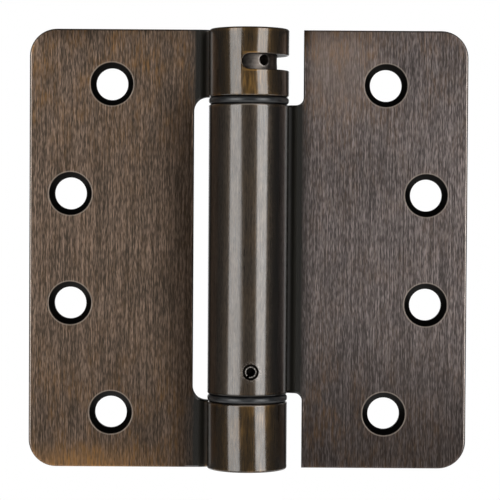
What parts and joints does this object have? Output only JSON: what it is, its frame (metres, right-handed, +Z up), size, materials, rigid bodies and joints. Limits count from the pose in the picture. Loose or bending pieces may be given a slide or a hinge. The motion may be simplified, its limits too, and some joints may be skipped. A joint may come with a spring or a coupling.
{
  "type": "self-closing hinge",
  "caption": "Self-closing butt hinge: two rolled steel leaves with rounded corners, nylon bearings and a torsion spring inside the barrel, set by a slotted tension spindle.",
  "frame": {"origin": "on the pin axis, at the middle of the leaves' height", "axes": "+Z up along the pin axis; the open leaves lie along X, the frame leaf towards -X and the door leaf towards +X; -Y is the side the screws go in from"},
  "size_m": [0.1016, 0.0186, 0.1016],
  "materials": {
    "leaf_bronze": "vertically brushed steel with a dark oil-rubbed bronze plating that wears to copper",
    "spindle_steel": "turned steel, blackened",
    "spring_steel": "drawn spring steel, oiled",
    "bearing_nylon": "moulded black nylon, satin"
  },
  "bodies": {
    "frame_leaf": {"frame_leaf": "leaf_bronze", "lower_bearing": "bearing_nylon", "bottom_plug": "leaf_bronze"},
    "door_leaf": {"door_leaf": "leaf_bronze", "upper_bearing": "bearing_nylon", "anchor_spindle": "spindle_steel", "anchor_pin": "spring_steel", "torsion_spring": "spring_steel"},
    "tension_spindle": {"tension_spindle": "spindle_steel"}
  },
  "joints": [
    {"name": "leaf_swing", "type": "hinge", "parent": "frame_leaf", "child": "door_leaf", "pos_m": [0, 0, 0], "axis": [0, 0, 1], "range_deg": [-180, 90], "stiffness_Nm_per_rad": 1.46, "deforming": ["torsion_spring"]},
    {"name": "tension_turn", "type": "hinge", "parent": "frame_leaf", "child": "tension_spindle", "pos_m": [0, 0, 0.0428], "axis": [0, 0, -1], "range_deg": [0, 180], "deforming": ["torsion_spring"]}
  ]
}
